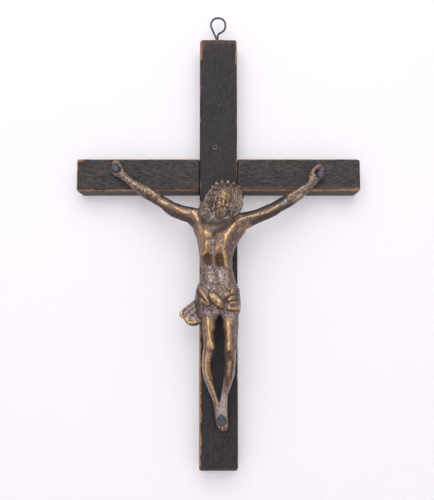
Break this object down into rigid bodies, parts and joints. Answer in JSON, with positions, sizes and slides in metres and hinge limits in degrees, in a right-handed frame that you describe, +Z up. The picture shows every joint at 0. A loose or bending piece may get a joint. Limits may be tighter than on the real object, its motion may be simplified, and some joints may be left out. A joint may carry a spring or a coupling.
{
  "type": "wall crucifix",
  "caption": "Half-lapped wooden wall cross with a cast metal figure nailed on at hands and feet and a bent wire hanging loop.",
  "frame": {"origin": "where a wall hook bears: the inner crown of the wire loop, at mid-thickness of the wood", "axes": "+X to the viewer's right, -Y to the front, +Y to the wall, +Z up along the upright"},
  "size_m": [0.145, 0.0281, 0.2352],
  "materials": {
    "painted_wood": "thin black paint, worn to bare wood on the arrises",
    "wire": "dull drawn wire",
    "figure_metal": "dark brown patina, rubbed bright on the high parts",
    "nail_iron": "hammered blue-grey"
  },
  "bodies": {
    "root": {"upright": "painted_wood", "crossbar": "painted_wood", "hanging_loop": "wire", "corpus": "figure_metal", "left_hand_nail": "nail_iron", "right_hand_nail": "nail_iron", "feet_nail": "nail_iron"}
  },
  "joints": []
}
